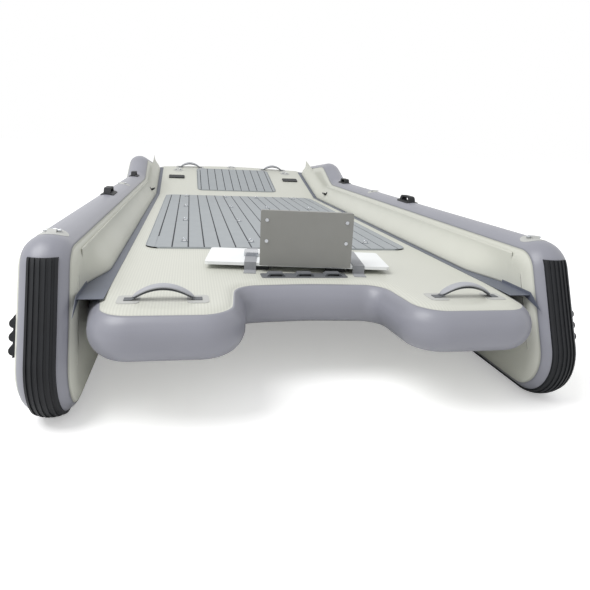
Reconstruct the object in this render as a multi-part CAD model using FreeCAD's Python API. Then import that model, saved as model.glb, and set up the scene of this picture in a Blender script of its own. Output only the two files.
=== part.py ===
"""Inflatable catamaran: two drop-stitch side hulls on edge, a drop-stitch deck slung
between them with a motor notch aft and a ramp forward, and a strapped-on motor mount.

Millimetres. +X is starboard, +Y is the bow, +Z is up. While it is built, x = 0 is the
centreline, y = 0 is the aft end of the deck and z = 0 is the underside of the hulls.
At the end everything moves so that the origin is the bottom centre of the whole boat.
"""
import FreeCAD, Part
import math
import os

V = FreeCAD.Vector

# ---- driving dimensions ----
HULL_THICKNESS = 145.0          # side hull, across the boat
HULL_HEIGHT = 460.0             # side hull, underside to crest
HULL_INNER_X = 634.0            # centreline to the inner face of a side hull
STERN_TOP_Y = 170.0             # the raked stern meets the crest here
STERN_FOOT_Y = -36.0            # and the underside here
STERN_TOP_RADIUS = 105.0
STERN_FOOT_RADIUS = 130.0
BOW_TIP_Y = 3655.0              # fore end of the side hulls
BOW_TIP_RISE = 40.0             # above the crest
BOW_CHIN_SETBACK = 60.0         # aft of the tip
BOW_CHIN_DROP = 140.0           # below the crest
BOW_SWEEP = 785.0               # the underside sweeps up over this length
BOW_SWEEP_RADIUS = 900.0
BOW_CHIN_RADIUS = 110.0
BOW_TIP_RADIUS = 100.0
NOSE_START = 1100.0             # aft of the tip, where the crest steps up
NOSE_PEAK = 800.0
NOSE_RISE = 112.0               # above the crest
NOSE_RADIUS = 260.0
EDGE_FLAT = 0.5                 # flat left between the two roundings of an edge

DECK_THICKNESS = 135.0
DECK_DEPTH = 148.0              # deck top, below the crest of the hulls
RAMP_START = 895.0              # aft of the hulls' tip
RAMP_ANGLE = 12.4               # degrees
RAMP_SIDE_LENGTH = 790.0        # along the ramp to the bow corners
RAMP_CROWN = 85.0               # the middle of the bow stands further out
RAMP_CROWN_RADIUS = 1800.0
RAMP_BEND_RADIUS = 320.0
NOTCH_HALF_WIDTH = 197.0        # at the front of the motor notch
NOTCH_FLARE = 25.0              # the notch widens aft, on each side
NOTCH_SIDE_DEPTH = 266.0
NOTCH_CROWN = 15.0              # its front edge bows forward in the middle
NOTCH_CROWN_RADIUS = 600.0
NOTCH_CORNER_RADIUS = 45.0
LOBE_INNER_RADIUS = 118.0
LOBE_OUTER_RADIUS = 105.0
LOBE_GAP = 44.0                 # the lobes leave the hulls and narrow by this
LOBE_TAPER_Y = 300.0
LOBE_TAPER_RADIUS = 400.0
DECK_BOW_RADIUS = 95.0

SEAT_GAP = 0.3                  # between glued or strapped pieces with curved faces

GUARD_WIDTH = 72.0              # rubber strip on the stern and keel of a hull
GUARD_THICKNESS = 3.5
GUARD_RIB_COUNT = 6
GUARD_RIB_WIDTH = 6.0
GUARD_RIB_HEIGHT = 3.0
GUARD_TOP_DROP = 44.0           # below the crest
GUARD_FORE_SETBACK = 265.0      # aft of the tip

RAIL_HEIGHT = 94.0              # triple rub rail on the outer face
RAIL_DROP = 238.0               # its middle, below the crest
RAIL_BASE = 4.0
RAIL_RIB_RADIUS = 11.0
RAIL_RIB_PITCH = 31.0
RAIL_AFT_INSET = 62.0           # from the raked stern
RAIL_FORE_SETBACK = 435.0       # aft of the tip

TAPE_DECK_WIDTH = 66.0          # joint tape, its flange on the deck
TAPE_HULL_WIDTH = 10.0          # and its flange on the hull
TAPE_THICKNESS = 1.2
TAPE_AFT_Y = 140.0
TAPE_FLAG_LENGTH = 60.0

FILLET_WIDTH = 43.0             # cream slope above the tape, from the deck to the hull
FILLET_HEIGHT = 90.0
FILLET_EDGE = 2.0               # its thickness at the inboard edge
FILLET_AFT_Y = 262.0

PAD_THICKNESS = 6.0
MAIN_PAD_MARGIN = 115.5         # from the hulls
MAIN_PAD_AFT_Y = 794.0
MAIN_PAD_FORE_GAP = 52.0        # to the start of the ramp
MAIN_PAD_RADIUS = 60.0
BOW_PAD_MARGIN = 336.5          # from the hulls
BOW_PAD_AFT = 116.0             # along the ramp, from its start
BOW_PAD_FORE_GAP = 96.0         # to the bow corners
BOW_PAD_RADIUS = 45.0

HANDLE_SPAN = 200.0             # padded webbing handles on the deck
HANDLE_RISE = 34.0
HANDLE_WIDTH = 36.0
HANDLE_THICKNESS = 9.0
HANDLE_FOOT = 26.0
HANDLE_PATCH_LENGTH = 72.0
HANDLE_PATCH_WIDTH = 56.0
HANDLE_PATCH_RADIUS = 14.0
PATCH_THICKNESS = 1.2
STERN_HANDLE_INSET = 214.0      # from the hulls
STERN_HANDLE_Y = 135.0
BOW_HANDLE_INSET = 284.0        # from the hulls
BOW_HANDLE_SETBACK = 57.0       # from the bow corners, along the ramp

GRAB_LENGTH = 170.0             # moulded grab handles on the hull crests
GRAB_WIDTH = 56.0
GRAB_BASE = 4.0
GRAB_RISE = 26.0
GRAB_BAR = 7.0
GRAB_BAR_WIDTH = 26.0
GRAB_FOOT = 30.0
GRAB_AFT_Y = 1300.0
GRAB_FORE_GAP = 125.0           # to where the crest steps up

RING_WIRE = 2.5                 # radius of the stainless wire
RING_WIDTH = 42.0
RING_PATCH_RADIUS = 40.0
RING_TAB_WIDTH = 24.0
RING_TAB_LENGTH = 16.0
STERN_RING_Y = 270.0
SIDE_RING_GAP = 640.0           # aft of the fore grab handle
RAMP_RING_INSET = 188.0         # from the hulls
RAMP_RING_SETBACK = 150.0       # from the bow corners, along the ramp
TOW_RING_SETBACK = 20.0

EYE_ROWS = 4                    # tie-down eyes on the main pad
EYE_ROW_INSET = 120.0
EYE_COLUMN_INSET = 143.0
EYE_MIDDLE_X = 110.0
EYE_RADIUS = 11.0
EYE_WIRE = 2.0
EYE_FOOT = 3.0
EYE_FLANGE = 3.0

PLATE_INSET = 179.0             # accessory plates on the ramp, from the hulls
PLATE_S = 440.0
PLATE_SIDE_X = 120.0
PLATE_SIDE_S = 70.0
PLATE_THICKNESS = 8.0
PLATE_RADIUS = 10.0

CLEAT_OFFSET = 290.0            # small T fittings on the slopes, aft of the nose
CLEAT_DROP = 100.0               # below the crest
CLEAT_STEM_RADIUS = 7.0
CLEAT_STEM_LENGTH = 16.0
CLEAT_BAR_LENGTH = 46.0
CLEAT_BAR_THICKNESS = 9.0
CLEAT_PATCH_RADIUS = 20.0
CLEAT_PATCH_THICKNESS = 2.0

BOARD_WIDTH = 600.0             # motor mount
BOARD_LENGTH = 230.0
BOARD_THICKNESS = 10.0
BOARD_LIFT = 15.0               # rubber feet under the board
BOARD_AFT_GAP = 166.0           # from the front of the motor notch
BOARD_RADIUS = 12.0
MOUNT_YAW = 8.0                 # degrees; the mount is strapped on a little crooked
MOUNT_SHIFT_X = 5.0
FOOT_X = 125.0
FOOT_WIDTH = 60.0
FOOT_INSET = 12.0
TRANSOM_WIDTH = 292.0
TRANSOM_HEIGHT = 175.0
TRANSOM_THICKNESS = 19.0
TRANSOM_DROP = 3.0              # the plate hangs below the board's top
TRANSOM_SHIFT_X = 22.0          # the plate sits a little to starboard of the board
TRANSOM_RADIUS = 6.0
BOLT_INSET_X = 20.0             # bolt heads on the plate's aft face
BOLT_INSET_Z = 30.0
BOLT_SPACING_Z = 66.0
BOLT_RADIUS = 5.5
BOLT_HEIGHT = 2.5
GUSSET_LENGTH = 120.0
GUSSET_TOP_GAP = 30.0           # to the top of the plate
GUSSET_THICKNESS = 6.0
GUSSET_INSET = 34.0
GUSSET_FLANGE = 14.0
GUSSET_TOE_HEIGHT = 18.0
GUSSET_TOP_LENGTH = 26.0
GUSSET_RADIUS = 8.0
STRAP_WIDTH = 38.0
STRAP_THICKNESS = 2.0
STRAP_OUTBOARD = 30.0           # from the plate's edges to the middle of a strap
STRAP_REACH = 46.0              # the strap runs on past the board along the deck
BUCKLE_LENGTH = 58.0
BUCKLE_WIDTH = 48.0
BUCKLE_HEIGHT = 13.0
BUCKLE_RADIUS = 5.0
LOOP_PATCH_WIDTH = 275.0        # webbing loops glued to the deck aft of the mount
LOOP_PATCH_LENGTH = 58.0
LOOP_PATCH_GAP = 86.0           # from the front of the motor notch
LOOP_PATCH_RADIUS = 10.0
LOOP_COUNT = 3
LOOP_WIDTH = 44.0
LOOP_RISE = 10.0
LOOP_LENGTH = 32.0
LOOP_INSET = 12.0

# ---- derived dimensions ----
HULL_CENTRE_X = HULL_INNER_X + HULL_THICKNESS / 2
HULL_OUTER_X = HULL_INNER_X + HULL_THICKNESS
HULL_EDGE_RADIUS = HULL_THICKNESS / 2 - EDGE_FLAT
NOSE_START_Y = BOW_TIP_Y - NOSE_START
NOSE_PEAK_Y = BOW_TIP_Y - NOSE_PEAK
GUARD_FORE_Y = BOW_TIP_Y - GUARD_FORE_SETBACK
RAIL_CENTRE_Z = HULL_HEIGHT - RAIL_DROP
RAIL_FORE_Y = BOW_TIP_Y - RAIL_FORE_SETBACK
STERN_RAKE = (STERN_TOP_Y - STERN_FOOT_Y) / HULL_HEIGHT
DECK_TOP = HULL_HEIGHT - DECK_DEPTH
DECK_HALF_WIDTH = HULL_INNER_X - SEAT_GAP
DECK_EDGE_RADIUS = DECK_THICKNESS / 2 - EDGE_FLAT
LOBE_OUTER_X = HULL_INNER_X - LOBE_GAP
NOTCH_DEPTH = NOTCH_SIDE_DEPTH + NOTCH_CROWN
RAMP_START_Y = BOW_TIP_Y - RAMP_START
RAMP_LENGTH = RAMP_SIDE_LENGTH + RAMP_CROWN
BEND_REACH = RAMP_BEND_RADIUS * math.tan(math.radians(RAMP_ANGLE / 2))
MAIN_PAD_WIDTH = 2 * (HULL_INNER_X - MAIN_PAD_MARGIN)
MAIN_PAD_FORE_Y = RAMP_START_Y - MAIN_PAD_FORE_GAP
BOW_PAD_WIDTH = 2 * (HULL_INNER_X - BOW_PAD_MARGIN)
BOW_PAD_FORE = RAMP_SIDE_LENGTH - BOW_PAD_FORE_GAP
STERN_HANDLE_X = HULL_INNER_X - STERN_HANDLE_INSET
BOW_HANDLE_X = HULL_INNER_X - BOW_HANDLE_INSET
BOW_HANDLE_S = RAMP_SIDE_LENGTH - BOW_HANDLE_SETBACK
GRAB_FORE_Y = NOSE_START_Y - GRAB_FORE_GAP
CREST_RING_YS = {"stern": STERN_RING_Y, "side": GRAB_FORE_Y - SIDE_RING_GAP}
RAMP_RING_X = HULL_INNER_X - RAMP_RING_INSET
RAMP_RING_S = RAMP_SIDE_LENGTH - RAMP_RING_SETBACK
TOW_RING_S = RAMP_SIDE_LENGTH - TOW_RING_SETBACK
EYE_OUTER_X = MAIN_PAD_WIDTH / 2 - EYE_COLUMN_INSET
EYE_ROW_PITCH = (MAIN_PAD_FORE_Y - MAIN_PAD_AFT_Y - 2 * EYE_ROW_INSET) / (EYE_ROWS - 1)
PLATE_X = HULL_INNER_X - PLATE_INSET
CLEAT_Y = NOSE_PEAK_Y - CLEAT_OFFSET
CLEAT_Z = HULL_HEIGHT - CLEAT_DROP
BOARD_AFT_Y = NOTCH_SIDE_DEPTH + BOARD_AFT_GAP
BOARD_TOP = DECK_TOP + BOARD_LIFT + BOARD_THICKNESS
BOARD_CENTRE_Y = BOARD_AFT_Y + BOARD_LENGTH / 2
TRANSOM_BASE = BOARD_TOP - TRANSOM_DROP
TRANSOM_TOP = TRANSOM_BASE + TRANSOM_HEIGHT
TRANSOM_AFT_Y = BOARD_AFT_Y - TRANSOM_THICKNESS
LOOP_PATCH_AFT_Y = NOTCH_SIDE_DEPTH + LOOP_PATCH_GAP
SIDES = {"port": -1, "starboard": 1}


# ---- outlines and basic solids ----
def rounded_wire(corners, place):
    """Closed wire through (u, v, radius) corners, each rounded by a tangent arc.

    `place` turns a pair (u, v) into a point in space.
    """
    edges = []
    starts = []
    ends = []
    arcs = []
    count = len(corners)
    for index, (u, v, radius) in enumerate(corners):
        corner = V(u, v, 0)
        before = V(*corners[index - 1][:2], 0) - corner
        after = V(*corners[(index + 1) % count][:2], 0) - corner
        before.normalize()
        after.normalize()
        half_angle = before.getAngle(after) / 2
        reach = radius / math.tan(half_angle)
        middle = before + after
        middle.normalize()
        tip = corner + middle * (radius / math.sin(half_angle) - radius)
        starts.append(corner + before * reach)
        ends.append(corner + after * reach)
        arcs.append(tip)
    for index in range(count):
        if corners[index][2] > 0:
            three = [place(point.x, point.y) for point in (starts[index], arcs[index], ends[index])]
            edges.append(Part.Arc(*three).toShape())
        following = (index + 1) % count
        line_start = place(ends[index].x, ends[index].y)
        line_end = place(starts[following].x, starts[following].y)
        if line_start.distanceToPoint(line_end) > 1e-6:
            edges.append(Part.LineSegment(line_start, line_end).toShape())
    return Part.Wire(edges)


def prism(corners, place, along):
    """Solid of a rounded outline, pushed along the vector `along`."""
    return Part.Face(rounded_wire(corners, place)).extrude(along)


def side_place(x):
    return lambda y, z: V(x, y, z)


def plan_place(z):
    return lambda x, y: V(x, y, z)


def cross_place(y):
    return lambda x, z: V(x, y, z)


def block(x0, x1, y0, y1, z0, z1):
    return Part.makeBox(x1 - x0, y1 - y0, z1 - z0, V(x0, y0, z0))


def rounded_block(x0, x1, y0, y1, z0, z1, radius):
    corners = [(x0, y0, radius), (x1, y0, radius), (x1, y1, radius), (x0, y1, radius)]
    return prism(corners, plan_place(z0), V(0, 0, z1 - z0))


def on_ramp(shape):
    """Carry a shape from flat ground to the ramp: y is then measured along the ramp."""
    shape = shape.copy()
    shape.rotate(V(0, 0, 0), V(1, 0, 0), RAMP_ANGLE)
    shape.translate(V(0, RAMP_START_Y, DECK_TOP))
    return shape


def on_side(shape, side):
    """A starboard shape, or its mirror image for the port side."""
    return shape if side > 0 else shape.mirror(V(0, 0, 0), V(1, 0, 0))


# ---- side hulls ----
def hull_panel(grow):
    """Starboard hull, a panel on edge with half-round edges, swollen by `grow`."""
    corners = [
        (STERN_FOOT_Y, 0.0, STERN_FOOT_RADIUS),
        (BOW_TIP_Y - BOW_SWEEP, 0.0, BOW_SWEEP_RADIUS),
        (BOW_TIP_Y - BOW_CHIN_SETBACK, HULL_HEIGHT - BOW_CHIN_DROP, BOW_CHIN_RADIUS),
        (BOW_TIP_Y, HULL_HEIGHT + BOW_TIP_RISE, BOW_TIP_RADIUS),
        (NOSE_PEAK_Y, HULL_HEIGHT + NOSE_RISE, NOSE_RADIUS),
        (NOSE_START_Y, HULL_HEIGHT, NOSE_RADIUS),
        (STERN_TOP_Y, HULL_HEIGHT, STERN_TOP_RADIUS),
    ]
    x = HULL_INNER_X - grow
    wire = rounded_wire(corners, side_place(x))
    if grow > 0:
        wire = wire.makeOffset2D(grow)
    panel = Part.Face(wire).extrude(V(HULL_THICKNESS + 2 * grow, 0, 0))
    rims = [edge for edge in panel.Edges if is_rim(edge, x, x + HULL_THICKNESS + 2 * grow)]
    return panel.makeFillet(HULL_EDGE_RADIUS + grow, rims)


def is_rim(edge, low, high):
    """True for an edge that lies in the plane x = low or x = high."""
    box = edge.BoundBox
    flat = box.XLength < 1e-3
    return flat and (abs(box.XMin - low) < 1e-2 or abs(box.XMin - high) < 1e-2)


def hull_skin(thickness):
    """Layer of the given thickness that lies on the starboard hull all round."""
    return hull_panel(SEAT_GAP + thickness).cut(hull_panel(SEAT_GAP))


def keel_guard():
    """Ribbed rubber strip down the stern and along the keel of the starboard hull.

    It is laid in four lengths: the raked stern, its foot, the keel and the sweep of the bow.
    """
    half = GUARD_WIDTH / 2
    low = -3 * GUARD_THICKNESS - GUARD_RIB_HEIGHT
    aft = STERN_FOOT_Y - HULL_THICKNESS
    top = HULL_HEIGHT - GUARD_TOP_DROP
    zone = block(HULL_CENTRE_X - half, HULL_CENTRE_X + half, aft, GUARD_FORE_Y, low, top)
    guard = hull_skin(GUARD_THICKNESS).common(zone)
    ribbed = hull_skin(GUARD_THICKNESS + GUARD_RIB_HEIGHT)
    pitch = (GUARD_WIDTH - GUARD_RIB_WIDTH) / (GUARD_RIB_COUNT - 1)
    for index in range(GUARD_RIB_COUNT):
        left = HULL_CENTRE_X - half + index * pitch
        lane = block(left, left + GUARD_RIB_WIDTH, aft, GUARD_FORE_Y, low, top)
        guard = guard.fuse(ribbed.common(lane))
    guard = guard.removeSplitter()
    foot_y = STERN_FOOT_Y + STERN_FOOT_RADIUS
    sweep_y = BOW_TIP_Y - BOW_SWEEP - BOW_SWEEP_RADIUS / 4
    cuts = [
        block(0, HULL_OUTER_X, aft, STERN_TOP_Y + STERN_TOP_RADIUS, STERN_FOOT_RADIUS, top),
        block(0, HULL_OUTER_X, aft, foot_y, low, STERN_FOOT_RADIUS),
        block(0, HULL_OUTER_X, foot_y, sweep_y, low, STERN_FOOT_RADIUS),
        block(0, HULL_OUTER_X, sweep_y, GUARD_FORE_Y, low, top),
    ]
    lengths = [guard.common(cut) for cut in cuts]
    return Part.makeCompound([solid for length in lengths for solid in length.Solids])


def rub_rail():
    """Strip with three round ribs along the outer face of the starboard hull."""
    face_x = HULL_OUTER_X
    half = RAIL_HEIGHT / 2
    aft_y = STERN_FOOT_Y + STERN_RAKE * (RAIL_CENTRE_Z - half) + RAIL_AFT_INSET
    outline = [
        (aft_y, RAIL_CENTRE_Z - half, 0),
        (RAIL_FORE_Y, RAIL_CENTRE_Z - half, 0),
        (RAIL_FORE_Y, RAIL_CENTRE_Z + half, 0),
        (aft_y + STERN_RAKE * RAIL_HEIGHT, RAIL_CENTRE_Z + half, 0),
    ]
    rail = prism(outline, side_place(face_x), V(RAIL_BASE, 0, 0))
    zone = prism(outline, side_place(face_x), V(HULL_THICKNESS, 0, 0))
    for index in (-1, 0, 1):
        centre = V(face_x + RAIL_BASE - 1, 0, RAIL_CENTRE_Z + index * RAIL_RIB_PITCH)
        rib = Part.makeCylinder(RAIL_RIB_RADIUS, RAIL_FORE_Y, centre, V(0, 1, 0))
        rail = rail.fuse(rib.common(zone))
    return rail.removeSplitter()


# ---- deck ----
def deck_side_corners(raise_by, drop_by, fore_y):
    """Side outline of a layer between two heights relative to the deck's top."""
    slope = math.tan(math.radians(RAMP_ANGLE))
    rise = (fore_y - RAMP_START_Y) * slope
    top = DECK_TOP + raise_by
    base = DECK_TOP - drop_by
    aft_y = -200.0
    return [
        (aft_y, base, 0),
        (RAMP_START_Y, base, RAMP_BEND_RADIUS + drop_by),
        (fore_y, base + rise, 0),
        (fore_y, top + rise, 0),
        (RAMP_START_Y, top, RAMP_BEND_RADIUS - raise_by),
        (aft_y, top, 0),
    ]


def deck_slab(plan):
    """Flat panel under z = 0 with a rounded plan outline and half-round edges."""
    slab = prism(plan, plan_place(-DECK_THICKNESS), V(0, 0, DECK_THICKNESS))
    rims = [edge for edge in slab.Edges if edge.BoundBox.ZLength < 1e-3]
    return slab.makeFillet(DECK_EDGE_RADIUS, rims)


def deck_panel():
    """Deck with two stern lobes, a motor notch and a bow ramp, half-round all round."""
    wide = DECK_HALF_WIDTH
    spare = RAMP_LENGTH
    stern_plan = [
        (-wide, LOBE_TAPER_Y, LOBE_TAPER_RADIUS),
        (-LOBE_OUTER_X, 0.0, LOBE_OUTER_RADIUS),
        (-NOTCH_HALF_WIDTH - NOTCH_FLARE, 0.0, LOBE_INNER_RADIUS),
        (-NOTCH_HALF_WIDTH, NOTCH_SIDE_DEPTH, NOTCH_CORNER_RADIUS),
        (0.0, NOTCH_DEPTH, NOTCH_CROWN_RADIUS),
        (NOTCH_HALF_WIDTH, NOTCH_SIDE_DEPTH, NOTCH_CORNER_RADIUS),
        (NOTCH_HALF_WIDTH + NOTCH_FLARE, 0.0, LOBE_INNER_RADIUS),
        (LOBE_OUTER_X, 0.0, LOBE_OUTER_RADIUS),
        (wide, LOBE_TAPER_Y, LOBE_TAPER_RADIUS),
        (wide, RAMP_START_Y + spare, LOBE_OUTER_RADIUS),
        (-wide, RAMP_START_Y + spare, LOBE_OUTER_RADIUS),
    ]
    ramp_plan = [
        (-wide, -spare, DECK_BOW_RADIUS),
        (wide, -spare, DECK_BOW_RADIUS),
        (wide, RAMP_SIDE_LENGTH, DECK_BOW_RADIUS),
        (0.0, RAMP_LENGTH, RAMP_CROWN_RADIUS),
        (-wide, RAMP_SIDE_LENGTH, DECK_BOW_RADIUS),
    ]
    bend_y = RAMP_START_Y - BEND_REACH
    stern = deck_slab(stern_plan).translated(V(0, 0, DECK_TOP))
    stern = stern.common(block(-wide - 50, wide + 50, -100, bend_y, 0, HULL_HEIGHT))
    ramp = deck_slab(ramp_plan)
    ramp = ramp.common(block(-wide - 50, wide + 50, BEND_REACH, RAMP_LENGTH + 100, -300, 100))
    section = [
        (-wide, DECK_TOP - DECK_THICKNESS, DECK_EDGE_RADIUS),
        (wide, DECK_TOP - DECK_THICKNESS, DECK_EDGE_RADIUS),
        (wide, DECK_TOP, DECK_EDGE_RADIUS),
        (-wide, DECK_TOP, DECK_EDGE_RADIUS),
    ]
    face = Part.Face(rounded_wire(section, cross_place(bend_y)))
    bend = face.revolve(V(0, bend_y, DECK_TOP + RAMP_BEND_RADIUS), V(1, 0, 0), RAMP_ANGLE)
    return stern.fuse([bend, on_ramp(ramp)])


def joint_tape():
    """Angle of coated tape in the corner between the deck and the starboard hull."""
    inner = DECK_HALF_WIDTH - TAPE_DECK_WIDTH
    outer = DECK_HALF_WIDTH
    lift = SEAT_GAP
    fore_y = RAMP_START_Y + (RAMP_SIDE_LENGTH - DECK_BOW_RADIUS) * math.cos(math.radians(RAMP_ANGLE))
    flat = prism(deck_side_corners(lift + TAPE_THICKNESS, -lift, fore_y), side_place(inner),
                 V(outer - inner, 0, 0))
    upright = prism(deck_side_corners(TAPE_HULL_WIDTH, -lift, fore_y),
                    side_place(outer - TAPE_THICKNESS), V(TAPE_THICKNESS, 0, 0))
    keep = block(0, HULL_OUTER_X, TAPE_AFT_Y, fore_y, 0, 2 * HULL_HEIGHT)
    flag = [
        (TAPE_AFT_Y - TAPE_FLAG_LENGTH, DECK_TOP - TAPE_FLAG_LENGTH / 2, 0),
        (TAPE_AFT_Y + TAPE_FLAG_LENGTH, DECK_TOP + lift, 0),
        (TAPE_AFT_Y + TAPE_FLAG_LENGTH, DECK_TOP + TAPE_HULL_WIDTH, 0),
        (TAPE_AFT_Y, DECK_TOP + TAPE_HULL_WIDTH, 0),
    ]
    point = prism(flag, side_place(outer - TAPE_THICKNESS), V(TAPE_THICKNESS, 0, 0))
    return flat.fuse(upright).common(keep).fuse(point).removeSplitter()


def joint_fillet():
    """Cream slope that fills the corner between the tape and the starboard hull."""
    outer = DECK_HALF_WIDTH - TAPE_THICKNESS
    inner = outer - FILLET_WIDTH
    base = SEAT_GAP + TAPE_THICKNESS
    top = base + FILLET_HEIGHT
    fore_y = RAMP_START_Y + (RAMP_SIDE_LENGTH - DECK_BOW_RADIUS) * math.cos(math.radians(RAMP_ANGLE))
    layer = prism(deck_side_corners(top, -base, fore_y), side_place(inner), V(FILLET_WIDTH, 0, 0))
    layer = layer.common(block(0, HULL_OUTER_X, FILLET_AFT_Y, fore_y, 0, 2 * HULL_HEIGHT))
    clear = [
        (inner - 20, base + FILLET_EDGE, 0),
        (inner, base + FILLET_EDGE, 0),
        (outer, top, 0),
        (outer, top + 200, 0),
        (inner - 20, top + 200, 0),
    ]
    above = prism(clear, cross_place(0), V(0, RAMP_LENGTH + 100, 0))
    flat = prism(clear, cross_place(0), V(0, RAMP_START_Y, 0))
    flat.translate(V(0, 0, DECK_TOP))
    return layer.cut(flat).cut(on_ramp(above)).removeSplitter()


# ---- pads and patches ----
def main_pad():
    half = MAIN_PAD_WIDTH / 2
    return rounded_block(-half, half, MAIN_PAD_AFT_Y, MAIN_PAD_FORE_Y,
                         DECK_TOP, DECK_TOP + PAD_THICKNESS, MAIN_PAD_RADIUS)


def bow_pad():
    half = BOW_PAD_WIDTH / 2
    return on_ramp(rounded_block(-half, half, BOW_PAD_AFT, BOW_PAD_FORE, 0, PAD_THICKNESS, BOW_PAD_RADIUS))


def handle_patches():
    """Two reinforcement patches under the feet of a deck handle, at the origin."""
    reach = HANDLE_SPAN / 2 - HANDLE_FOOT / 2
    half_length = HANDLE_PATCH_LENGTH / 2
    half_width = HANDLE_PATCH_WIDTH / 2
    solids = []
    for sign in (-1, 1):
        x = sign * reach
        solids.append(rounded_block(x - half_width, x + half_width, -half_length, half_length,
                                    0, PATCH_THICKNESS, HANDLE_PATCH_RADIUS))
    return Part.makeCompound(solids)


def deck_handle():
    """Padded webbing handle: two flat feet and an arch between them, at the origin."""
    base = PATCH_THICKNESS
    half = HANDLE_SPAN / 2
    foot = half - HANDLE_FOOT
    thick = HANDLE_THICKNESS
    radius = (foot ** 2 + HANDLE_RISE ** 2) / (2 * HANDLE_RISE)
    centre_z = base + HANDLE_RISE - radius
    outer = Part.makeCylinder(radius + thick, HANDLE_WIDTH, V(0, -HANDLE_WIDTH / 2, centre_z), V(0, 1, 0))
    inner = Part.makeCylinder(radius, HANDLE_WIDTH, V(0, -HANDLE_WIDTH / 2, centre_z), V(0, 1, 0))
    above = block(-half, half, -HANDLE_WIDTH / 2, HANDLE_WIDTH / 2, base, base + 200)
    arch = outer.cut(inner).common(above)
    for sign in (-1, 1):
        near = min(sign * (foot - 2), sign * half)
        far = max(sign * (foot - 2), sign * half)
        arch = arch.fuse(block(near, far, -HANDLE_WIDTH / 2, HANDLE_WIDTH / 2, base, base + thick / 2))
    return arch.removeSplitter()


# ---- fittings on the hulls ----
def grab_handle(y):
    """Moulded handle on the crest of the starboard hull: a draped base and a grip."""
    top = HULL_HEIGHT + SEAT_GAP
    half_length = GRAB_LENGTH / 2
    half_width = GRAB_WIDTH / 2
    column = rounded_block(HULL_CENTRE_X - half_width, HULL_CENTRE_X + half_width,
                           y - half_length, y + half_length, top - 60, top + 100, half_width - 2)
    base = hull_skin(GRAB_BASE).common(column)
    rise = top + GRAB_RISE
    outline = [
        (y - half_length + 16, top + 1, 0),
        (y + half_length - 16, top + 1, 0),
        (y + half_length - 30, rise, 24),
        (y - half_length + 30, rise, 24),
    ]
    x = HULL_CENTRE_X - GRAB_BAR_WIDTH / 2
    grip = prism(outline, side_place(x), V(GRAB_BAR_WIDTH, 0, 0))
    hole = [
        (y - half_length + 16 + GRAB_FOOT, top + GRAB_BASE, 3),
        (y + half_length - 16 - GRAB_FOOT, top + GRAB_BASE, 3),
        (y + half_length - 22 - GRAB_FOOT, rise - GRAB_BAR, 12),
        (y - half_length + 22 + GRAB_FOOT, rise - GRAB_BAR, 12),
    ]
    grip = grip.cut(prism(hole, side_place(x - 5), V(GRAB_BAR_WIDTH + 10, 0, 0)))
    return base.fuse(grip).removeSplitter()


def d_ring(radius, wire):
    """Wire ring bent to a D, lying flat at the origin with its bar along Y."""
    half = radius
    points = [V(0, -half, 0), V(0, half, 0)]
    bar = Part.LineSegment(*points).toShape()
    bow = Part.Arc(points[1], V(half, 0, 0), points[0]).toShape()
    bar_solid = Part.makeCylinder(wire, 2 * half, points[0], V(0, 1, 0))
    section = Part.Wire(Part.makeCircle(wire, points[1], V(1, 0, 0)))
    bow_solid = Part.Wire(bow).makePipeShell([section], True, True)
    ends = [Part.makeSphere(wire, point) for point in points]
    return bow_solid.fuse([bar_solid] + ends).removeSplitter()


def ring_tab(base_z):
    """Webbing tab that holds a D-ring's bar, at the origin, standing on base_z."""
    half = RING_TAB_WIDTH / 2
    height = 2 * RING_WIRE + 2 * SEAT_GAP + 2 * PATCH_THICKNESS
    outline = [
        (-RING_TAB_LENGTH, base_z, 0),
        (RING_TAB_LENGTH / 2, base_z, 0),
        (RING_TAB_LENGTH / 2 - 1, base_z + height, 3),
        (-RING_TAB_LENGTH / 3, base_z + height, 3),
    ]
    tab = prism(outline, cross_place(-half), V(0, 2 * half, 0))
    bar_z = base_z + PATCH_THICKNESS + SEAT_GAP + RING_WIRE
    tunnel = Part.makeCylinder(RING_WIRE + SEAT_GAP, 4 * half, V(0, -2 * half, bar_z), V(0, 1, 0))
    return tab.cut(tunnel), bar_z


def crest_ring(y):
    """Draped disc with a webbing tab on the starboard crest, and its D-ring."""
    top = HULL_HEIGHT + SEAT_GAP
    column = Part.makeCylinder(RING_PATCH_RADIUS, 160, V(HULL_CENTRE_X, y, top - 60), V(0, 0, 1))
    disc = hull_skin(PATCH_THICKNESS).common(column)
    tab, bar_z = ring_tab(top + PATCH_THICKNESS - 1.5)
    tab.rotate(V(0, 0, 0), V(0, 0, 1), 90)
    tab.translate(V(HULL_CENTRE_X, y, 0))
    tab = tab.cut(hull_panel(SEAT_GAP))
    ring = d_ring(RING_WIDTH / 2, RING_WIRE)
    ring.translate(V(0, 0, bar_z))
    ring.rotate(V(0, 0, 0), V(0, 0, 1), 90)
    ring.translate(V(HULL_CENTRE_X, y, 0))
    return disc.fuse(tab).removeSplitter(), ring


def ramp_ring(x, s, turn):
    """Flat disc with a webbing tab on the ramp, and its D-ring."""
    disc = Part.makeCylinder(RING_PATCH_RADIUS, PATCH_THICKNESS)
    tab, bar_z = ring_tab(PATCH_THICKNESS)
    ring = d_ring(RING_WIDTH / 2, RING_WIRE)
    ring.translate(V(0, 0, bar_z))
    patch = disc.fuse(tab).removeSplitter()
    placed = []
    for shape in (patch, ring):
        shape.rotate(V(0, 0, 0), V(0, 0, 1), turn)
        shape.translate(V(x, s, 0))
        placed.append(on_ramp(shape))
    return placed


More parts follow.
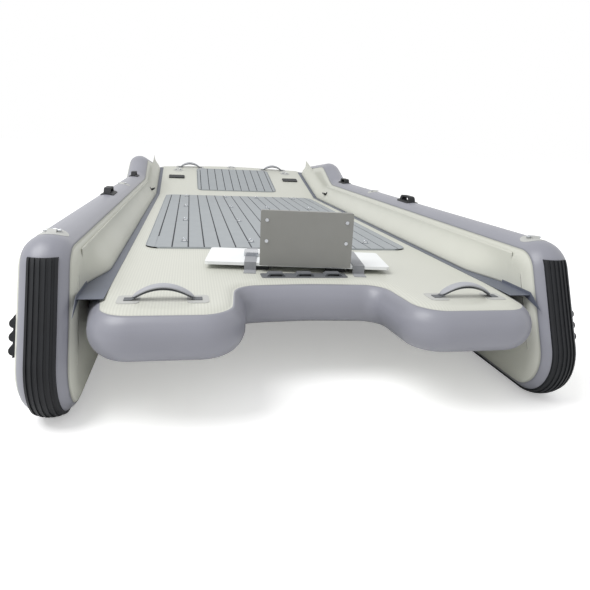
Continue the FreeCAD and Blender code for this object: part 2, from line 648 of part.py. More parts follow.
def inner_cleat():
    """Small T fitting on the slope along the inner face of the starboard hull."""
    x = HULL_INNER_X
    centre = V(x, CLEAT_Y, CLEAT_Z)
    patch = Part.makeCylinder(CLEAT_PATCH_RADIUS, CLEAT_PATCH_THICKNESS, centre, V(-1, 0, 0))
    stem = Part.makeCylinder(CLEAT_STEM_RADIUS, CLEAT_STEM_LENGTH, centre, V(-1, 0, 0))
    half = CLEAT_BAR_LENGTH / 2
    start = x - CLEAT_STEM_LENGTH - CLEAT_BAR_THICKNESS
    bar = block(start, start + CLEAT_BAR_THICKNESS, CLEAT_Y - half, CLEAT_Y + half,
                CLEAT_Z - CLEAT_BAR_THICKNESS / 2, CLEAT_Z + CLEAT_BAR_THICKNESS / 2)
    cleat = patch.fuse([stem, bar]).removeSplitter()
    lean = math.degrees(math.atan2(FILLET_WIDTH, FILLET_HEIGHT - FILLET_EDGE))
    cleat.rotate(centre, V(0, 1, 0), lean)
    rise = CLEAT_Z - DECK_TOP - SEAT_GAP - TAPE_THICKNESS - FILLET_EDGE
    seat = math.tan(math.radians(lean)) * rise - FILLET_WIDTH - TAPE_THICKNESS
    cleat.translate(V(DECK_HALF_WIDTH + seat - SEAT_GAP - x, 0, 0))
    return cleat


# ---- fittings on the deck ----
def tie_eyes():
    """Small wire eyes standing on round feet on the main pad."""
    top = DECK_TOP + PAD_THICKNESS
    eyes = []
    for row in range(EYE_ROWS):
        y = MAIN_PAD_AFT_Y + EYE_ROW_INSET + row * EYE_ROW_PITCH
        for x in (-EYE_OUTER_X, -EYE_MIDDLE_X, EYE_MIDDLE_X, EYE_OUTER_X):
            foot = Part.makeCylinder(EYE_RADIUS + EYE_FLANGE, EYE_FOOT, V(x, y, top), V(0, 0, 1))
            hoop = Part.makeTorus(EYE_RADIUS - EYE_WIRE, EYE_WIRE, V(x, y, top + EYE_FOOT), V(0, 1, 0))
            above = block(x - 30, x + 30, y - 30, y + 30, top + 1, top + 60)
            eyes.append(foot.fuse(hoop.common(above)).removeSplitter())
    return Part.makeCompound(eyes)


def accessory_plate():
    """Moulded plate on the starboard side of the ramp."""
    half_x = PLATE_SIDE_X / 2
    half_s = PLATE_SIDE_S / 2
    return on_ramp(rounded_block(PLATE_X - half_x, PLATE_X + half_x, PLATE_S - half_s,
                                 PLATE_S + half_s, 0, PLATE_THICKNESS, PLATE_RADIUS))


# ---- motor mount ----
def on_mount(shape):
    """Turn and shift a piece of the mount from square to the way it is strapped on."""
    shape = shape.copy()
    shape.rotate(V(0, BOARD_CENTRE_Y, 0), V(0, 0, 1), -MOUNT_YAW)
    shape.translate(V(MOUNT_SHIFT_X, 0, 0))
    return shape


def base_board():
    half = BOARD_WIDTH / 2
    return rounded_block(-half, half, BOARD_AFT_Y, BOARD_AFT_Y + BOARD_LENGTH,
                         DECK_TOP + BOARD_LIFT, BOARD_TOP, BOARD_RADIUS)


def board_feet():
    """Two rubber feet between the base board and the deck."""
    feet = []
    for sign in (-1, 1):
        x = sign * FOOT_X
        feet.append(block(x - FOOT_WIDTH / 2, x + FOOT_WIDTH / 2, BOARD_AFT_Y + FOOT_INSET,
                          BOARD_AFT_Y + BOARD_LENGTH - FOOT_INSET, DECK_TOP, DECK_TOP + BOARD_LIFT))
    return Part.makeCompound(feet)


def transom_plate():
    """Upright plate against the aft edge of the base board, for an outboard's clamp."""
    port_x = TRANSOM_SHIFT_X - TRANSOM_WIDTH / 2
    starboard_x = TRANSOM_SHIFT_X + TRANSOM_WIDTH / 2
    corners = [
        (port_x, TRANSOM_BASE, 0),
        (starboard_x, TRANSOM_BASE, 0),
        (starboard_x, TRANSOM_TOP, TRANSOM_RADIUS),
        (port_x, TRANSOM_TOP, TRANSOM_RADIUS),
    ]
    return prism(corners, cross_place(TRANSOM_AFT_Y), V(0, TRANSOM_THICKNESS, 0))


def transom_bolts():
    """Four low bolt heads on the aft face of the transom plate."""
    heads = []
    for sign in (-1, 1):
        x = TRANSOM_SHIFT_X + sign * (TRANSOM_WIDTH / 2 - BOLT_INSET_X)
        for drop in (BOLT_INSET_Z, BOLT_INSET_Z + BOLT_SPACING_Z):
            seat = V(x, TRANSOM_AFT_Y, TRANSOM_TOP - drop)
            heads.append(Part.makeCylinder(BOLT_RADIUS, BOLT_HEIGHT, seat, V(0, -1, 0)))
    return Part.makeCompound(heads)


def gusset(side):
    """Welded bracket between the transom plate and the base board."""
    half = TRANSOM_WIDTH / 2
    x = TRANSOM_SHIFT_X + side * (half - GUSSET_INSET) - GUSSET_THICKNESS / 2
    low_x = x - GUSSET_FLANGE
    high_x = x + GUSSET_THICKNESS + GUSSET_FLANGE
    fore_y = BOARD_AFT_Y + GUSSET_LENGTH
    top = TRANSOM_TOP - GUSSET_TOP_GAP
    corners = [
        (BOARD_AFT_Y, BOARD_TOP, 0),
        (fore_y, BOARD_TOP, 0),
        (fore_y, BOARD_TOP + GUSSET_TOE_HEIGHT, GUSSET_RADIUS),
        (BOARD_AFT_Y + GUSSET_TOP_LENGTH, top, GUSSET_RADIUS),
        (BOARD_AFT_Y, top, 0),
    ]
    web = prism(corners, side_place(x), V(GUSSET_THICKNESS, 0, 0))
    flange = block(low_x, high_x, BOARD_AFT_Y, fore_y, BOARD_TOP, BOARD_TOP + GUSSET_THICKNESS)
    wall = block(low_x, high_x, BOARD_AFT_Y, BOARD_AFT_Y + GUSSET_THICKNESS, BOARD_TOP, top)
    return web.fuse([flange, wall]).removeSplitter()


def strap_x(side):
    return TRANSOM_SHIFT_X + side * (TRANSOM_WIDTH / 2 + STRAP_OUTBOARD)


def mount_strap(side):
    """Webbing over the base board, down its two edges and out along the deck."""
    thick = STRAP_THICKNESS
    aft = BOARD_AFT_Y - SEAT_GAP
    fore = BOARD_AFT_Y + BOARD_LENGTH + SEAT_GAP
    over = BOARD_TOP + SEAT_GAP
    outline = [
        (aft - STRAP_REACH, DECK_TOP, 0),
        (aft, DECK_TOP, 0),
        (aft, over, 0),
        (fore, over, 0),
        (fore, DECK_TOP, 0),
        (fore + STRAP_REACH, DECK_TOP, 0),
        (fore + STRAP_REACH, DECK_TOP + thick, 0),
        (fore + thick, DECK_TOP + thick, 0),
        (fore + thick, over + thick, 0),
        (aft - thick, over + thick, 0),
        (aft - thick, DECK_TOP + thick, 0),
        (aft - STRAP_REACH, DECK_TOP + thick, 0),
    ]
    half = STRAP_WIDTH / 2
    return prism(outline, side_place(strap_x(side) - half), V(STRAP_WIDTH, 0, 0))


def strap_buckle(side):
    """Cam buckle on the strap, on top of the base board."""
    x = strap_x(side)
    low = BOARD_TOP + SEAT_GAP + STRAP_THICKNESS
    return rounded_block(x - BUCKLE_WIDTH / 2, x + BUCKLE_WIDTH / 2,
                         BOARD_CENTRE_Y - BUCKLE_LENGTH / 2, BOARD_CENTRE_Y + BUCKLE_LENGTH / 2,
                         low, low + BUCKLE_HEIGHT, BUCKLE_RADIUS)


def loop_patch():
    """Patch on the deck aft of the transom plate, with webbing loops raised on it."""
    half = LOOP_PATCH_WIDTH / 2
    top = DECK_TOP + PATCH_THICKNESS
    patch = rounded_block(-half, half, LOOP_PATCH_AFT_Y, LOOP_PATCH_AFT_Y + LOOP_PATCH_LENGTH,
                          DECK_TOP, top, LOOP_PATCH_RADIUS)
    pitch = LOOP_PATCH_WIDTH / LOOP_COUNT
    for index in range(LOOP_COUNT):
        centre = -half + (index + 0.5) * pitch
        left = centre - LOOP_WIDTH / 2
        right = centre + LOOP_WIDTH / 2
        outline = [
            (left - 8, top - 1, 0),
            (right + 8, top - 1, 0),
            (right, top + LOOP_RISE, 6),
            (left, top + LOOP_RISE, 6),
        ]
        hollow = [
            (left + 1, top, 0),
            (right - 1, top, 0),
            (right - 4, top + LOOP_RISE - 3, 3),
            (left + 4, top + LOOP_RISE - 3, 3),
        ]
        loop = prism(outline, cross_place(LOOP_PATCH_AFT_Y + LOOP_INSET), V(0, LOOP_LENGTH, 0))
        loop = loop.cut(prism(hollow, cross_place(LOOP_PATCH_AFT_Y), V(0, LOOP_PATCH_LENGTH, 0)))
        patch = patch.fuse(loop)
    return patch.removeSplitter()


# ---- assembly ----
def build():
    """All named pieces of the boat, before the origin is moved."""
    pieces = {"deck": deck_panel(), "main_deck_pad": main_pad(), "bow_deck_pad": bow_pad()}
    hull = hull_panel(0)
    guard = keel_guard()
    rail = rub_rail()
    tape = joint_tape()
    fillet = joint_fillet()
    grabs = {"aft": grab_handle(GRAB_AFT_Y), "fore": grab_handle(GRAB_FORE_Y)}
    rings = {place: crest_ring(y) for place, y in CREST_RING_YS.items()}
    cleat = inner_cleat()
    plate = accessory_plate()
    for name, side in SIDES.items():
        pieces[name + "_hull"] = on_side(hull, side)
        pieces[name + "_keel_guard"] = on_side(guard, side)
        pieces[name + "_rub_rail"] = on_side(rail, side)
        pieces[name + "_joint_tape"] = on_side(tape, side)
        pieces[name + "_joint_fillet"] = on_side(fillet, side)
        for place, grab in grabs.items():
            pieces[name + "_" + place + "_grab_handle"] = on_side(grab, side)
        for place, (patch, ring) in rings.items():
            pieces[name + "_" + place + "_ring_patch"] = on_side(patch, side)
            pieces[name + "_" + place + "_ring"] = on_side(ring, side)
        pieces[name + "_inner_cleat"] = on_side(cleat, side)
        pieces[name + "_accessory_plate"] = on_side(plate, side)
        patch, ring = ramp_ring(RAMP_RING_X, RAMP_RING_S, 90)
        pieces[name + "_ramp_ring_patch"] = on_side(patch, side)
        pieces[name + "_ramp_ring"] = on_side(ring, side)
        stern_seat = V(side * STERN_HANDLE_X, STERN_HANDLE_Y, DECK_TOP)
        pieces[name + "_stern_handle"] = deck_handle().translated(stern_seat)
        pieces[name + "_stern_handle_patches"] = handle_patches().translated(stern_seat)
        bow_seat = V(side * BOW_HANDLE_X, BOW_HANDLE_S, 0)
        pieces[name + "_bow_handle"] = on_ramp(deck_handle().translated(bow_seat))
        pieces[name + "_bow_handle_patches"] = on_ramp(handle_patches().translated(bow_seat))
        pieces["mount_strap_" + name] = on_mount(mount_strap(side))
        pieces["transom_bracket_" + name] = on_mount(gusset(side))
    patch, ring = ramp_ring(0.0, TOW_RING_S, 90)
    pieces["bow_tow_patch"] = patch
    pieces["bow_tow_ring"] = ring
    pieces["deck_tie_eyes"] = tie_eyes()
    pieces["mount_base_board"] = on_mount(base_board())
    pieces["mount_feet"] = on_mount(board_feet())
    pieces["transom_plate"] = on_mount(transom_plate())
    pieces["transom_bolts"] = on_mount(transom_bolts())
    pieces["strap_buckle"] = on_mount(strap_buckle(SIDES["port"]))
    pieces["mount_loop_patch"] = loop_patch()
    return pieces


def main():
    pieces = build()
    whole = Part.makeCompound(list(pieces.values())).optimalBoundingBox(False)
    shift = V(0, -(whole.YMin + whole.YMax) / 2, -whole.ZMin)
    os.makedirs("parts", exist_ok=True)
    for name, shape in pieces.items():
        shape.translated(shift).exportStep("parts/" + name + ".step")
        print(name, len(shape.Solids), "solids", shape.isValid(), round(shape.Volume / 1e6, 3), "litres")
    print("shift", shift, "size", whole.XLength, whole.YLength, whole.ZLength)


main()
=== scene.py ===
import math

import bmesh
import bpy
import numpy as np
from mathutils import Matrix, Vector


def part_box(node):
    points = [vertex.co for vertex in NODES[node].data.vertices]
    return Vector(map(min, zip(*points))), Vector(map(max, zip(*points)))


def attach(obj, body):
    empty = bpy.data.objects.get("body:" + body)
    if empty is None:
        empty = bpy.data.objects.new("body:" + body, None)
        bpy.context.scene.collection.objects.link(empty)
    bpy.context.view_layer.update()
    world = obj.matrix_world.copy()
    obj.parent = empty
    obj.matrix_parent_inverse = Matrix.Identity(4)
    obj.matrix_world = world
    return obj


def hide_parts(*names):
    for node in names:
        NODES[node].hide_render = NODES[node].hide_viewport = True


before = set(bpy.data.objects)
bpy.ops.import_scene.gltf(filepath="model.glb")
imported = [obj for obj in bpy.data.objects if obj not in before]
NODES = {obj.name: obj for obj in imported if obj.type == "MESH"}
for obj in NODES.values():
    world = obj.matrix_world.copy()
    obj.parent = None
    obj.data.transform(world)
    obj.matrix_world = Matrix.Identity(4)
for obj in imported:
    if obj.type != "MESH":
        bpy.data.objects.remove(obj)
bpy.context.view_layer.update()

# The boat's own measures, in mm: y = 0 is the aft end of the deck, z = 0 the underside of the hulls.
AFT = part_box("deck")[0].y
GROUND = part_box("port_hull")[0].z
HULL_INNER_X = 634.0
HULL_THICKNESS = 145.0
HULL_OUTLINE = [(-36, 0, 130), (2870, 0, 900), (3595, 320, 110), (3655, 500, 100),
                (2855, 572, 260), (2555, 460, 260), (170, 460, 105)]
HULL_SEAM_ANGLE = 37          # degrees round the half-round edge where its band starts
DECK_TOP = 312.0
DECK_THICKNESS = 135.0
DECK_GAP = 0.3                # to each hull
DECK_SEAM_ANGLE = 31
BAND_LEDGE = 0.9              # the band's thickness over the fabric
RAMP_START = 2760.0
RAMP_ANGLE = math.radians(12.4)
BEND_RADIUS = 320.0
BEND_REACH = BEND_RADIUS * math.tan(RAMP_ANGLE / 2)
RAMP_SIDE = 790.0             # length of the ramp along a hull
RAMP_MIDDLE = 875.0           # and on the centreline
BOW_CORNER = 95.0
NOTCH_FRONT = 266.0
NOTCH_MIDDLE = 281.0
NOTCH_CORNER_X = 152.0        # where the notch's front corner meets its straight front
LOBE_X = 406.0                # middle of a stern lobe
LOBE_FORE = 330.0             # where the lobes run together
LOBE_RADIUS = 118.0           # of its corner beside the notch
FILLET_TOP = 105.0            # above the deck
FILLET_BASE = 1.5
FILLET_DEPTH = 43.0           # out from the hull
FILLET_AFT = 262.0
FOAM_THICKNESS = 6.0
FOAM_EDGE = 1.0               # softened top edge
PLANK_PITCH = 60.0
GROOVE_HALF = 2.5
GROOVE_DEPTH = 1.6
GROOVE_WALL = 0.5
BORDER_MARGIN = 4.0           # middle of the dark border, from the pad's outline
BORDER_HALF = 1.1
STERN_HANDLE = (HULL_INNER_X - 214, 135)   # x, y on the deck
BOW_HANDLE = (HULL_INNER_X - 284, 733)     # x, distance along the ramp
SIDES = {"port": -1, "starboard": 1}


# ---- shaping helpers ----

def unit(v):
    """Rows of v, each scaled to length 1."""
    return v / np.linalg.norm(v, axis=-1, keepdims=True)


def outline(corners, step=14.0):
    """Closed outline through (u, v, radius) corners taken anticlockwise, each corner a tangent arc.
    Returns points and outward normals, spaced at about step."""
    p = np.array([c[:2] for c in corners], float)
    points, normals = [], []
    count = len(p)
    arcs = []
    for i, (u, v, radius) in enumerate(corners):
        before = unit(p[i - 1] - p[i])
        after = unit(p[(i + 1) % count] - p[i])
        half = math.acos(float(np.clip(before @ after, -1, 1))) / 2
        centre = p[i] + unit(before + after) * radius / math.sin(half)
        start = p[i] + before * radius / math.tan(half)
        end = p[i] + after * radius / math.tan(half)
        convex = np.sign(after[0] * before[1] - after[1] * before[0])
        arcs.append((centre, start, end, radius, convex))
    for i, (centre, start, end, radius, convex) in enumerate(arcs):
        a = math.atan2(*(start - centre)[::-1])
        turn = (math.atan2(*(end - centre)[::-1]) - a + math.pi) % (2 * math.pi) - math.pi
        n = max(6, int(abs(turn) * radius / step) + 1)
        t = a + turn * np.linspace(0, 1, n)[:, None]
        ray = np.hstack([np.cos(t), np.sin(t)])
        points.append(centre + radius * ray)
        normals.append(ray * convex)
        far = arcs[(i + 1) % count][1]
        along = far - end
        n = max(1, int(np.linalg.norm(along) / step))
        t = np.arange(1, n)[:, None] / n
        points.append(end + along * t)
        normals.append(np.repeat([[along[1], -along[0]]], n - 1, 0) / np.linalg.norm(along))
    return np.vstack(points), np.vstack(normals)


def bend(points):
    """Carries flat-deck points (x, y, height above the deck's top) onto the deck, bent up at the ramp:
    an arc of BEND_RADIUS about a crosswise axis, then a straight slope."""
    x, y, h = np.moveaxis(np.asarray(points, float), -1, 0)
    from_bend = y - (RAMP_START - BEND_REACH)
    arc = BEND_RADIUS * RAMP_ANGLE
    turn = np.clip(from_bend, 0, arc) / BEND_RADIUS
    beyond = np.maximum(from_bend - arc, 0)
    start = np.minimum(y, RAMP_START - BEND_REACH)
    bent_y = start + (BEND_RADIUS - h) * np.sin(turn) + beyond * math.cos(RAMP_ANGLE)
    rise = BEND_RADIUS - (BEND_RADIUS - h) * np.cos(turn) + beyond * math.sin(RAMP_ANGLE)
    return np.stack([x, bent_y, DECK_TOP + rise], -1)


def on_deck(points):
    """Points (x, y, height above the deck's top) onto the flat of the deck."""
    return points + (0, 0, DECK_TOP)


def on_ramp(points):
    """Points (x, distance along the ramp from its start, height above it) onto the bow ramp."""
    x, s, h = np.moveaxis(np.asarray(points, float), -1, 0)
    c, n = math.cos(RAMP_ANGLE), math.sin(RAMP_ANGLE)
    return np.stack([x, RAMP_START + s * c - h * n, DECK_TOP + s * n + h * c], -1)


def skin(name, grid, materials, kinds=0, loop_u=False, loop_v=False,
         weld=False, outward=False, smooth=True, uv=None):
    """A piece from a grid of points in mm, rows by columns: neighbours are joined by quads, and
    loop_u and loop_v join the last row or column to the first. kinds numbers the material of each
    row of quads, or of each quad. outward turns a closed piece right side out."""
    rows, columns = grid.shape[:2]
    index = np.arange(rows * columns).reshape(rows, columns)
    a = index if loop_u else index[:-1]
    b = np.roll(index, -1, 0) if loop_u else index[1:]
    if loop_v:
        quads = np.stack([a, b, np.roll(b, -1, 1), np.roll(a, -1, 1)], -1)
    else:
        quads = np.stack([a[:, :-1], b[:, :-1], b[:, 1:], a[:, 1:]], -1)
    if np.ndim(kinds) == 1:
        kinds = np.reshape(kinds, (-1, 1))
    kinds = np.broadcast_to(kinds, quads.shape[:2])
    quads = quads.reshape(-1, 4)
    points = grid.reshape(-1, 3) / 1000 + (0, AFT, GROUND)
    mesh = bpy.data.meshes.new(name)
    mesh.from_pydata(points.tolist(), [], quads.tolist())
    mesh.polygons.foreach_set("material_index", kinds.reshape(-1).astype(np.int32))
    if uv is not None:
        layer = mesh.uv_layers.new(name="run")
        layer.data.foreach_set("uv", uv.reshape(-1, 2)[quads.reshape(-1)].ravel())
    for material in materials:
        mesh.materials.append(material)
    if weld:
        mesh_weld(mesh)
    if outward:
        face_out(mesh)
    mesh.polygons.foreach_set("use_smooth", np.full(len(mesh.polygons), smooth))
    mesh.update()
    piece = bpy.data.objects.new(name, mesh)
    bpy.context.scene.collection.objects.link(piece)
    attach(piece, "root")
    return piece


def mesh_weld(mesh):
    """Merges points within 0.02 mm, such as at a pole, and drops flattened faces."""
    work = bmesh.new()
    work.from_mesh(mesh)
    bmesh.ops.remove_doubles(work, verts=work.verts, dist=2e-5)
    bmesh.ops.dissolve_degenerate(work, dist=1e-6, edges=work.edges)
    bmesh.ops.recalc_face_normals(work, faces=work.faces)
    work.to_mesh(mesh)
    work.free()


def close_sides(mesh):
    """Fills the open ends of a folded-over sheet or of a tube."""
    work = bmesh.new()
    work.from_mesh(mesh)
    loose = [e for e in work.edges if len(e.link_faces) == 1]
    if loose:
        bmesh.ops.holes_fill(work, edges=loose, sides=0)
    bmesh.ops.recalc_face_normals(work, faces=work.faces)
    work.to_mesh(mesh)
    work.free()


def face_out(mesh):
    """Turns a closed mesh right side out if its signed volume is negative."""
    mesh.calc_loop_triangles()
    co = np.empty(len(mesh.vertices) * 3)
    mesh.vertices.foreach_get("co", co)
    co = co.reshape(-1, 3)
    tri = np.empty(len(mesh.loop_triangles) * 3, np.int32)
    mesh.loop_triangles.foreach_get("vertices", tri)
    a, b, c = np.moveaxis(co[tri.reshape(-1, 3)] - co.mean(0), 1, 0)
    if np.einsum("ij,ij->", a, np.cross(b, c)) < 0:
        mesh.flip_normals()


# ---- material helpers ----

def linear(hex_colour):
    """sRGB hex, such as "#c8c9c0", as a linear RGBA tuple."""
    parts = [int(hex_colour[i:i + 2], 16) / 255 for i in (1, 3, 5)]
    return (*[c / 12.92 if c <= 0.04045 else ((c + 0.055) / 1.055) ** 2.4 for c in parts], 1.0)


def add(tree, kind, links=None, **settings):
    """Adds one node. settings name its properties or input sockets, links map inputs to outputs."""
    node = tree.nodes.new("ShaderNode" + kind)
    for name, value in settings.items():
        if hasattr(node, name):
            setattr(node, name, value)
        else:
            node.inputs[name.replace("_", " ")].default_value = value
    for socket, source in (links or {}).items():
        tree.links.new(source, node.inputs[socket])
    return node


def finish_of(name, roughness, metallic=0.0, ior=1.5, sheen=0.0):
    """A new material with one Principled shader, returned as (material, tree, shader)."""
    material = bpy.data.materials.new(name)
    material.use_nodes = True
    tree = material.node_tree
    shader = tree.nodes["Principled BSDF"]
    shader.inputs["Roughness"].default_value = roughness
    shader.inputs["Metallic"].default_value = metallic
    shader.inputs["IOR"].default_value = ior
    shader.inputs["Sheen Weight"].default_value = sheen
    return material, tree, shader


def blended(tree, factor, first, second):
    """A colour from first to second by factor; each is a hex value or a socket."""
    mix = add(tree, "Mix", {"Factor": factor}, data_type="RGBA")
    # a Mix node's sockets 6 and 7 are its two colours, and output 2 their mixture
    for index, colour in ((6, first), (7, second)):
        if isinstance(colour, str):
            mix.inputs[index].default_value = linear(colour)
        else:
            tree.links.new(colour, mix.inputs[index])
    return mix.outputs[2]


def noise(tree, vector, size_mm):
    """Soft noise with patches of about size_mm, 0 to 1."""
    return add(tree, "TexNoise", {"Vector": vector}, Scale=1000 / size_mm, Detail=3.0).outputs["Fac"]


def stepped(tree, value, low, high):
    """0 below low, 1 above high, straight between."""
    ramp = add(tree, "MapRange", {"Value": value})
    ramp.inputs["From Min"].default_value = low
    ramp.inputs["From Max"].default_value = high
    return ramp.outputs[0]


def raised(tree, shader, heights):
    """Bump from (height socket, mm, strength) layers, each over the last."""
    normal = None
    for height, mm, strength in heights:
        bump = add(tree, "Bump", {"Height": height}, Strength=strength, Distance=mm / 1000)
        if normal is not None:
            tree.links.new(normal, bump.inputs["Normal"])
        normal = bump.outputs["Normal"]
    tree.links.new(normal, shader.inputs["Normal"])


def stripes(tree, vector, axis, pitch_mm):
    """Waves across one axis ("X", "Y" or "Z") at the pitch given, 0 to 1."""
    split = add(tree, "SeparateXYZ", {"Vector": vector})
    turns = add(tree, "Math", {0: split.outputs[axis]}, operation="MULTIPLY")
    turns.inputs[1].default_value = 2000 * math.pi / pitch_mm
    wave = add(tree, "Math", {0: turns.outputs[0]}, operation="SINE")
    return stepped(tree, wave.outputs[0], -1.0, 1.0)


def plain(name, light, dark, roughness, patch_mm, grain_mm, grain_height,
          metallic=0.0, sheen=0.0, ior=1.5):
    """Two close colours drifting in patches of patch_mm, over a fine grain of grain_mm."""
    material, tree, shader = finish_of(name, roughness, metallic, ior, sheen)
    place = add(tree, "TexCoord").outputs["Object"]
    tree.links.new(blended(tree, noise(tree, place, patch_mm), light, dark), shader.inputs["Base Color"])
    raised(tree, shader, [(noise(tree, place, grain_mm), grain_height, 0.5)])
    return material


def cream_fabric(lined):
    """PVC-coated drop-stitch fabric, calendered: satin, with the rows of drop threads showing as faint lines
    8 mm apart on a deck, and slow uneven shading where the coat is thicker. Real rows are about 3 mm apart,
    drawn coarser so that they show."""
    name = "pvc_dropstitch_cream_deck" if lined else "pvc_dropstitch_cream"
    material, tree, shader = finish_of(name, 0.42)
    place = add(tree, "TexCoord").outputs["Object"]
    colour = blended(tree, noise(tree, place, 260), "#cdcec5", "#c3c4ba")
    layers = [(noise(tree, place, 60), 0.6, 0.25), (noise(tree, place, 1.6), 0.08, 0.4)]
    if lined:
        rows = stripes(tree, place, "X", 8.0)
        colour = blended(tree, rows, colour, "#c0c1b8")
        layers.append((rows, 0.25, 0.35))
    tree.links.new(colour, shader.inputs["Base Color"])
    raised(tree, shader, layers)
    return material


def band_fabric():
    """PVC edge tape, calendered and glued over the rounding: satin lavender grey, with faint ridges that run
    along it where the layers below lie, and small puckers."""
    material, tree, shader = finish_of("pvc_edge_band_grey", 0.36)
    place = add(tree, "TexCoord")
    run = place.outputs["UV"]
    colour = blended(tree, noise(tree, place.outputs["Object"], 180), "#8f9099", "#85868f")
    ridges = stripes(tree, run, "Y", 24.0)
    stretch = add(tree, "Mapping", {"Vector": run})
    stretch.inputs["Scale"].default_value = (0.12, 1.0, 1.0)
    puckers = noise(tree, stretch.outputs[0], 7.0)
    tree.links.new(colour, shader.inputs["Base Color"])
    raised(tree, shader, [(ridges, 0.35, 0.35), (puckers, 0.5, 0.4),
                          (noise(tree, place.outputs["Object"], 1.6), 0.08, 0.3)])
    return material


MATERIALS = {
    "cream": cream_fabric(False),
    "cream_deck": cream_fabric(True),
    "band": band_fabric(),
    # glued PVC tape, calendered: an even, darker satin line
    "slate": plain("pvc_seam_tape_slate", "#636875", "#585d6a", 0.45, 60, 2.0, 0.15),
    # moulded rubber: black and dull, with a soft broad shine on its ribs
    "rubber": plain("moulded_rubber_black", "#1d1f23", "#131518", 0.55, 40, 1.5, 0.1, ior=1.4),
    # brushed closed-cell foam: no shine, a fine tooth
    "foam": plain("eva_foam_grey", "#9ea3a6", "#94999d", 0.85, 60, 2.0, 0.4, sheen=0.15),
    # the dark lower layer of that foam, bared by routing
    "foam_dark": plain("eva_foam_groove_charcoal", "#2c2f34", "#26292e", 0.8, 30, 2.0, 0.2),
    # injection-moulded plastic: black with a fine grain
    "plastic": plain("moulded_plastic_black", "#1d1f22", "#151719", 0.5, 30, 1.2, 0.08, ior=1.4),
    # polished stainless wire and bolts: bright, sharp reflections
    "steel": plain("polished_stainless_steel", "#c9ccd0", "#b9bcc0", 0.22, 15, 1.0, 0.02, metallic=1.0),
    # PVC patches glued to the fabric: flat and pale
    "patch": plain("pvc_patch_pale_grey", "#b9bab6", "#adaeac", 0.5, 50, 2.0, 0.15),
    # woven webbing: rough, with a coarse tooth and a little sheen
    "webbing": plain("woven_webbing_grey", "#97999d", "#85878b", 0.75, 8, 1.5, 0.3, sheen=0.2),
    "dark_webbing": plain("woven_webbing_charcoal", "#5a5d62", "#4c4f54", 0.75, 8, 1.5, 0.3, sheen=0.2),
    # coated cloth sewn over a padded core: smoother than the webbing
    "padding": plain("padded_sleeve_grey", "#a9abb0", "#9c9ea4", 0.6, 30, 1.5, 0.2, sheen=0.15),
    # powder-coated aluminium plate: even, low gloss
    "plate": plain("painted_aluminium_grey", "#898985", "#82827e", 0.45, 60, 1.5, 0.05),
    # laminated board: white and smooth
    "board": plain("laminated_board_white", "#eceeee", "#e3e6e7", 0.35, 80, 3.0, 0.03),
}


# ---- side hulls ----

def panel(path, normal, spine, half, seam_angle):
    """Inflated flat panel with half-round edges: straight from the spine to the inset outline, then
    round the edge, point = inset + normal * radius * sin(a), height = radius * cos(a), then straight
    back on the far face. radius is half, and half + BAND_LEDGE on the edge band, past the seam
    angle. Returns rows of (u, v, height) and the kind of each row of quads, 1 on the band."""
    fabric_steps, band_steps = 7, 25
    inset = path - normal * half
    seam = np.radians(seam_angle)
    angles = np.concatenate([np.linspace(0, seam, fabric_steps),
                             np.linspace(seam, math.pi - seam, band_steps),
                             np.linspace(math.pi - seam, math.pi, fabric_steps)])
    radii = np.full(len(angles), half)
    radii[fabric_steps:-fabric_steps] += BAND_LEDGE

    def level(points, height):
        return np.hstack([points, np.full((len(path), 1), height)])

    shares = np.array([0.0, 0.4, 0.75, 0.93])
    rows = [level(spine + (inset - spine) * share, half) for share in shares]
    for angle, radius in zip(angles, radii):
        rows.append(level(inset + normal * radius * math.sin(angle), radius * math.cos(angle)))
    rows += [level(spine + (inset - spine) * share, -half) for share in shares[::-1]]
    kinds = np.zeros(len(rows) - 1, int)
    first = len(shares) + fabric_steps - 1
    kinds[first:first + band_steps + 1] = 1
    return np.stack(rows), kinds


def run_uv(rows):
    """Distances in metres along each row and across the rows."""
    closed = np.concatenate([rows, rows[:, :1]], 1)
    along = np.linalg.norm(np.diff(closed, axis=1), axis=2)[len(rows) // 2]
    u = np.concatenate([[0], np.cumsum(along[:-1])]) / 1000
    across = np.linalg.norm(np.diff(rows, axis=0), axis=2).mean(1)
    v = np.concatenate([[0], np.cumsum(across)]) / 1000
    return np.stack(np.broadcast_arrays(u[None, :], v[:, None]), -1)


def hulls():
    """Two upright drop-stitch panels with half-round edges, each covered by an edge band. The spine
    of their flat faces runs up the middle of the hull from stern to bow."""
    path, normal = outline(HULL_OUTLINE, 11.0)
    y = np.clip(path[:, 0], 140, 3480)
    spine = np.stack([y, np.interp(y, [2450, 2800, 3100, 3480], [230, 290, 325, 415])], 1)
    rows, kinds = panel(path, normal, spine, HULL_THICKNESS / 2, HULL_SEAM_ANGLE)
    uv = run_uv(rows)
    for name, side in SIDES.items():
        x = side * (HULL_INNER_X + HULL_THICKNESS / 2) + rows[..., 2]
        grid = np.stack([x, rows[..., 0], rows[..., 1]], -1)
        piece = skin(name + "_hull_skin", grid, [MATERIALS["cream"], MATERIALS["band"]], kinds,
                     loop_v=True, weld=True, outward=True, uv=uv)
        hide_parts(name + "_hull")


